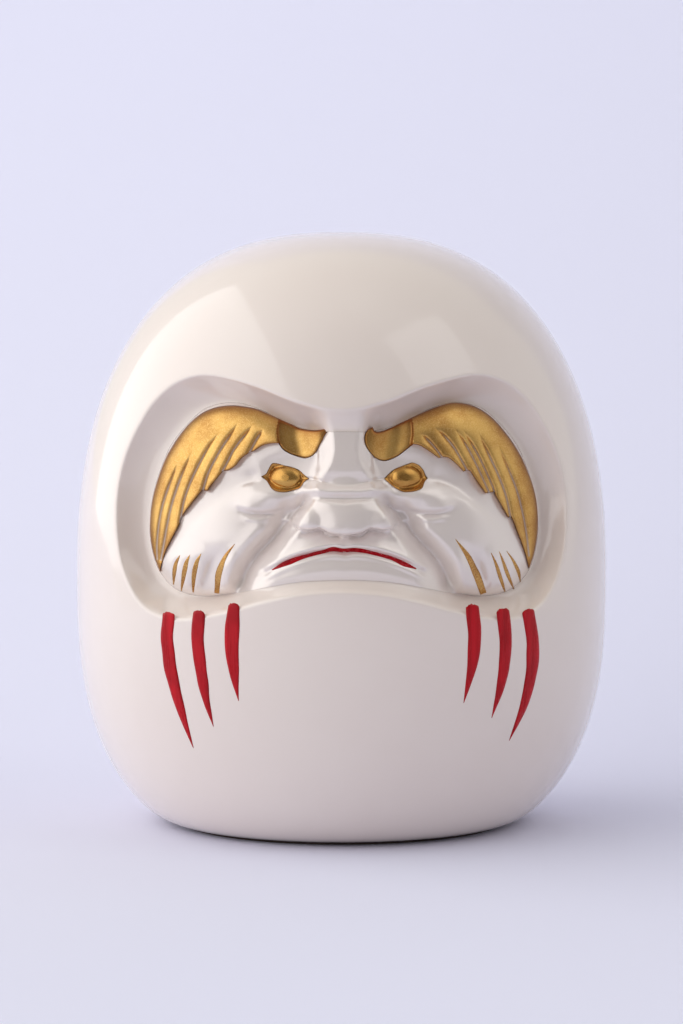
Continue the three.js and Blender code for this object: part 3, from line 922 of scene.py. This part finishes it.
def brow_relief(points, side):
    """How far a brow stands forward of the mask's ground, how bare it is, and how much painted shade browns
    its gold.
    """
    ring, cuts, runs = BROWS[side]
    outer_run = trace(runs[0][1:] if side == "left" else runs[-1], 0.4)
    gap_outer = spans(points, outer_run)[0]
    rim_gap = signed(points, ring)
    h = 2.7 + 1.3 * (1 - np.exp(-gap_outer / 2.6)) - 0.9 * np.exp(-gap_outer / 0.8)
    bare = np.zeros(len(points))
    for line, wide in cuts:
        gap, t, _ = spans(points, trace(line, 0.3))
        reach = wide * (0.35 + 0.4 * step(t, 0.0, 0.35))
        h -= 0.4 * np.exp(-((gap / reach) ** 2)) * step(t, 0.0, 0.25)
        h -= 0.5 * np.exp(-gap / 0.8) * step(t, 0.0, 0.3)
        bare = np.maximum(bare, (1 - step(gap / reach, 0.25, 0.9)) * step(t, 0.1, 0.35))

    # The inner end: a saddle that the feathered part overlaps. q is how far inwards of their join a point is.
    q = 12.65 + 0.35 * np.sin((points[:, 1] - 78) / 1.6) - np.abs(points[:, 0] - FACE_X)
    saddle = 2.55 - 1.25 * np.exp(-(((q - 3.6) / 2.6) ** 2)) + 0.8 * step(q, 4.5, 8.5)
    h = np.where(q > 0, saddle + (h - saddle) * (1 - step(q, 0.0, 0.35)), h)

    # Painted shade: the gold is browned along the brow's outline, along its outer edge, and on the saddle
    # where the feathered part overlaps it.
    thin_gold_and_painted_shade = 0.75 * np.exp(-rim_gap / 0.25) + 0.3 * np.exp(-gap_outer / 1.6)
    thin_gold_and_painted_shade += np.where(q > 0, 0.7 * np.exp(-q / 1.0) + 0.45 * np.exp(-gap_outer / 0.9), 0)
    from_edge = np.clip(rim_gap / 0.45, 0, 1)
    return h - 0.45 * (1 - np.sqrt(1 - (1 - from_edge) ** 2)), bare, np.clip(thin_gold_and_painted_shade, 0, 1)


def from_ball(points, side):
    """How far points are from the middle of an eyeball, 1 at its outline."""
    middle = EYES[side][1]
    return np.hypot(*((points - middle) / BALL_HALF).T)


def eye_relief(points, side):
    """An eyeball between lids that fall to it from the face's surface."""
    ball = 2.0 * np.sqrt(np.clip(1.06 - from_ball(points, side) ** 2, 0, 1)) - 0.35
    lid = face_relief(points) + 0.1 - 0.55 * step(signed(points, EYES[side][0]), 0.0, 1.1)
    return higher(ball + 1.1, lid, 0.12)


def pocketed(points):
    """The face with its brows' and eyes' places pressed into it."""
    h = face_relief(points)
    for ring in POCKETS:
        near = (points > ring.min(0) - 1).all(1) & (points < ring.max(0) + 1).all(1)
        within = np.full(len(points), -9.0)
        within[near] = signed(points[near], ring)
        h = h * (1 - step(within, -0.04, 0.05))
    return h


def forward(relief):
    """A heightfield's Y from how far it stands forward of the mask's ground."""
    return lambda p: front_y(p[:, 0], p[:, 1]) + FACE_DEPTH - relief(p)


def glued(points):
    """The relief of the back of a piece that is glued on the mask's ground."""
    return 0.05


# ---- The face's pieces ----


def face_mask():
    """The relief face, with fine rows of points at the edges of its pockets."""
    rows = [looped(offset(ring, by)) for ring in POCKETS for by in (0.06, -0.07)]

    def seen(fill):
        """The points that no brow or eye hides."""
        hidden = np.zeros(len(fill), bool)
        for ring in POCKETS:
            hidden |= signed(fill, ring) > 0.6
        return fill[~hidden]

    points = sheet_points(mask_outline, 0.3, rows, seen)
    back = forward(lambda p: -MASK_WALL)
    piece = slab("moulded_face", mask_outline, points, forward(pocketed), back, 2.0, pearl_lacquer,
                 60)
    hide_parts("face_mask")


def brow(side):
    ring, cuts, _ = BROWS[side]
    rows = []
    for line, wide in cuts:
        middle = trace(line, 0.22)
        normal = left_of(middle)
        rows += [middle + normal * by * wide for by in (0, 0.5, -0.5, 1.0, -1.0)]
    rows += [looped(offset(ring, -by)) for by in (0.1, 0.25)]
    points = sheet_points(ring, 0.24, rows)
    front = forward(lambda p: brow_relief(p, side)[0])
    piece = slab(f"gilded_brow_{side}", ring, points, front, forward(glued), 1.2, gold_cut, 60)
    _, bare, thin_gold_and_painted_shade = brow_relief(points, side)
    tag(piece, "bare", bare)
    tag(piece, "thin_gold_and_painted_shade", thin_gold_and_painted_shade)
    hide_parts(f"brow_{side}")


def eye(side):
    ring = EYES[side][0]
    points = sheet_points(ring, 0.14)
    front = forward(lambda p: eye_relief(p, side))
    piece = slab(f"gilded_eye_{side}", ring, points, front, forward(glued), 0.6, smooth_gold, 60)
    # Painted shade: the gold is browned along the eye's outline and in a ring where the ball meets the lids.
    round_ball = np.exp(-(((from_ball(points, side) - 1.06) / 0.08) ** 2))
    tag(piece, "thin_gold_and_painted_shade", np.clip(0.7 * np.exp(-signed(points, ring) / 0.14) + 0.25 * round_ball, 0, 1))
    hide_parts(f"eye_{side}")


# ---- Paint ----


def stroke_outline(line, halves, seed, ragged, spacing):
    """A brush stroke's outline: the middle line widened, with an uneven edge and a blunt or pointed start."""
    rng = np.random.default_rng(seed)
    middle = resample(smooth(np.column_stack([line, halves]), 14), spacing)
    middle, width = middle[:, :2], np.clip(middle[:, 2], 0.03, None)
    normal = left_of(middle)
    blur = np.hanning(23)
    rough = rng.normal(0, ragged, (2, len(middle) + len(blur) - 1))
    wobble = [np.convolve(row, blur / np.linalg.norm(blur), "valid") for row in rough]
    left = middle + normal * (width * (1 + wobble[0]))[:, None]
    right = middle - normal * (width * (1 + wobble[1]))[:, None]
    if width[0] < 0.4:
        return np.vstack([right[::-1], left])
    share = np.linspace(-0.92, 0.92, 9)[:, None]
    lift = 0.55 * np.sqrt(1 - share**2) * width[0] + rng.normal(0, 0.07, (9, 1))
    ahead = np.array([normal[0, 1], -normal[0, 0]])
    start = middle[0] + normal[0] * share * width[0] - ahead * lift
    return np.vstack([right[::-1], start, left])


def paint(name, outline, spacing, ground, material):
    """A film over a surface, thinning to its edge."""
    swell = lambda p: np.sqrt(np.clip(signed(p, outline) / 0.3, 0, 1))
    front = lambda p: ground(p) - PAINT_FILM * (0.35 + 0.65 * swell(p))
    back = lambda p: ground(p) - PAINT_LIFT
    return slab(name, outline, sheet_points(outline, spacing), front, back, spacing, material)


def brushwork():
    body = lambda p: front_y(p[:, 0], p[:, 1])
    face = forward(face_relief)
    for seed, (place, (line, halves)) in enumerate(RED_STROKES.items(), 11):
        outline = stroke_outline(line, halves, seed, 0.045, 0.3)
        paint(f"red_stroke_{place}", outline, 0.45, body, red)
    for seed, (place, (line, halves)) in enumerate(CHEEK_STROKES.items(), 31):
        outline = stroke_outline(line, halves, seed, 0.04, 0.15)
        stroke = paint(f"cheek_stroke_{place}", outline, 0.2, face, gold)
        # The cheeks' strokes are a browner gold all over, which is their own colour and not shade.
        tag(stroke, "thin_gold_and_painted_shade", np.full(len(stroke.data.vertices), 0.4))
    paint("mouth_line", stroke_outline(*MOUTH, 51, 0.05, 0.15), 0.18, face, red)


# ---- Pieces inside and under the foot ----


def turned(name, profile, material, node, lumpy=0.0):
    """A closed solid of revolution, squeezed as the body is, from (radius, z) points."""
    waves = np.random.default_rng(5).uniform(0, 2 * math.pi, 4)
    rings = []
    for r, z in profile[1:-1]:
        ring = ring_points(r, z)
        if lumpy:
            angle = np.arctan2(ring[:, 0], ring[:, 1])
            swell = sum(np.sin(k * angle + waves[k - 2] + 0.15 * z) for k in range(2, 6)) / 4
            ring[:, :2] *= (1 - lumpy * (0.5 + 0.5 * swell))[:, None]
        rings.append(ring)
    solid = Solid()
    ids = [solid.put(ring) for ring in rings]
    low, high = (solid.put(np.array([[0, 0, profile[end][1]]]))[0] for end in (0, -1))
    for a, b in zip(ids, ids[1:]):
        solid.join(a, b)
    solid.faces.extend([(low, b, a) for a, b in zip(ids[0], np.roll(ids[0], -1))])
    solid.faces.extend([(a, b, high) for a, b in zip(ids[-1], np.roll(ids[-1], -1))])
    piece = make(name, np.vstack(solid.verts), solid.faces, material, 35)
    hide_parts(node)


def rounded_disc(low, high, radius, edge_radius, crown=0.0):
    """A disc's profile with rounded edges, and a top that rises to a crown."""
    turn = [(1 - math.sin(t), 1 - math.cos(t)) for t in np.linspace(0, math.pi / 2, 5)]
    lower_edge = [(radius - edge_radius * u, low + edge_radius * v) for u, v in turn]
    upper_edge = [(radius - edge_radius * v, high - edge_radius * u) for u, v in turn]
    rings = [(radius * s, high + crown * (1 - s * s)) for s in (0.75, 0.5, 0.25)]
    return [(0, low), (radius * 0.5, low), *lower_edge, *upper_edge, *rings, (0, high + crown)]


def foot():
    crown = 2.5
    lump = rounded_disc(weight_low[2], weight_high[2] - crown, weight_high[0], 4.5, crown)
    turned("clay_weight", lump, clay, "base_weight", lumpy=0.03)
    plate = rounded_disc(plate_low[2], plate_high[2], plate_high[0], 0.35)
    turned("board_base", plate, board, "base_plate")
    disc = rounded_disc(disc_low[2], disc_high[2], disc_high[0], 0.12)
    turned("card_foot", disc, card, "foot_disc")


# ---- Camera, lights and backdrop ----

# In metres. The camera is level with the doll's forehead and looks slightly down, as in the photo.
CAMERA_PLACE = (0, -0.5808, 0.09366)
CAMERA_DIP = 3.015  # degrees
LENS, SENSOR = 100, 36
# Each light's place, what it points at, its size and its power in watts.
LIGHTS = {
    "left_panel": ((-0.6, -0.45, 0.57), (0, -0.45, 0.57), (1.9, 1.1), 7.0),
    "right_panel": ((0.55, -0.35, 0.75), (0, 0, 0.05), (0.5, 0.5), 0.55),
    "wall_light": ((0, 0.08, 0.27), (0, 0.31, 0.25), (0.6, 0.1), 0.24),
}
# The room's colours, and which way it is dim: the cosines over which it turns from pale to dim.
PALE, DIM = (0.77, 0.76, 0.745, 1), (0.205, 0.195, 0.186, 1)
DIM_SIDE, DIM_FROM = (0.14, -0.97, 0.2), (0.36, 0.88)
FLOOR_NEAR, FLOOR_FAR = -0.7, 0.06  # where the paper lies flat, along Y
PAPER_WALL, PAPER_TOP, PAPER_HALF = 0.31, 0.55, 0.48  # where it stands upright, its height and half-width
PAPER_LEFT = 0.17  # its half-width at the left of the wall
CUT_START, CUT_END = 0.2, 0.27  # where the left side narrows to that, along Y


def placed(name, data, at):
    """A new object in the scene."""
    thing = bpy.data.objects.new(name, data)
    thing.location = at
    bpy.context.scene.collection.objects.link(thing)
    return thing


def camera():
    data = bpy.data.cameras.new("camera")
    data.sensor_fit = "VERTICAL"
    data.sensor_height = SENSOR
    data.lens = LENS
    data.clip_start = 0.01
    viewer = placed("camera", data, CAMERA_PLACE)
    viewer.rotation_euler = (math.radians(90 - CAMERA_DIP), 0, 0)
    bpy.context.scene.camera = viewer


def area_light(name, at, target, size, power):
    data = bpy.data.lights.new(name, "AREA")
    data.shape = "RECTANGLE"
    data.size, data.size_y = size
    data.energy = power
    lamp = placed(name, data, at)
    lamp.rotation_euler = (Vector(target) - lamp.location).to_track_quat("-Z", "Y").to_euler()


def backdrop():
    """A pale paper sweep: floor, curve and wall in one sheet.

    It is cut away on the left, so that a camera behind the doll on that side sees the doll.
    """
    bend = PAPER_WALL - FLOOR_FAR
    turn = np.linspace(0, math.pi / 2, 24)
    curve = [(FLOOR_FAR + bend * math.sin(t), bend - bend * math.cos(t)) for t in turn]
    line = [(FLOOR_NEAR, 0.0), *curve, (PAPER_WALL, PAPER_TOP)]
    left = [-np.interp(y, [CUT_START, CUT_END], [PAPER_HALF, PAPER_LEFT]) for y, z in line]
    verts = [(x, y, z) for start, (y, z) in zip(left, line) for x in (start, PAPER_HALF)]
    faces = [(k, k + 1, k + 3, k + 2) for k in range(0, len(verts) - 2, 2)]
    mesh = bpy.data.meshes.new("backdrop")
    mesh.from_pydata(verts, [], faces)
    mesh.shade_smooth()
    n = Nodes("backdrop_paper", Roughness=0.85)
    cloud = n.ranged(n.noise(3, 2), 0.3, 0.7)
    n.feed("Base Color", n.mix(cloud, linear(228, 229, 247), linear(230, 231, 249)))
    mesh.materials.append(n.material)
    placed("backdrop", mesh, (0, 0, 0))


def room():
    """The room's light: pale to the sides and behind, and dim on the side the camera stands."""
    world = bpy.data.worlds.new("studio")
    world.use_nodes = True
    tree = world.node_tree
    place = tree.nodes.new("ShaderNodeTexCoord")
    facing = tree.nodes.new("ShaderNodeVectorMath")
    facing.operation = "DOT_PRODUCT"
    facing.inputs[1].default_value = DIM_SIDE
    dim = tree.nodes.new("ShaderNodeMapRange")
    dim.interpolation_type = "SMOOTHSTEP"
    dim.inputs["From Min"].default_value, dim.inputs["From Max"].default_value = DIM_FROM
    mix = tree.nodes.new("ShaderNodeMix")
    mix.data_type = "RGBA"
    mix.inputs["A"].default_value, mix.inputs["B"].default_value = PALE, DIM
    tree.links.new(place.outputs["Generated"], facing.inputs[0])
    tree.links.new(facing.outputs["Value"], dim.inputs["Value"])
    tree.links.new(dim.outputs["Result"], mix.inputs["Factor"])
    tree.links.new(mix.outputs["Result"], tree.nodes["Background"].inputs["Color"])
    bpy.context.scene.world = world


def studio():
    room()
    for name, light in LIGHTS.items():
        area_light(name, *light)
    scene = bpy.context.scene
    scene.view_settings.view_transform = "Standard"
    scene.view_settings.look = "None"


# ---- Assembly ----

camera()
body_shell()
face_mask()
for side in ("left", "right"):
    brow(side)
    eye(side)
brushwork()
foot()
backdrop()
studio()
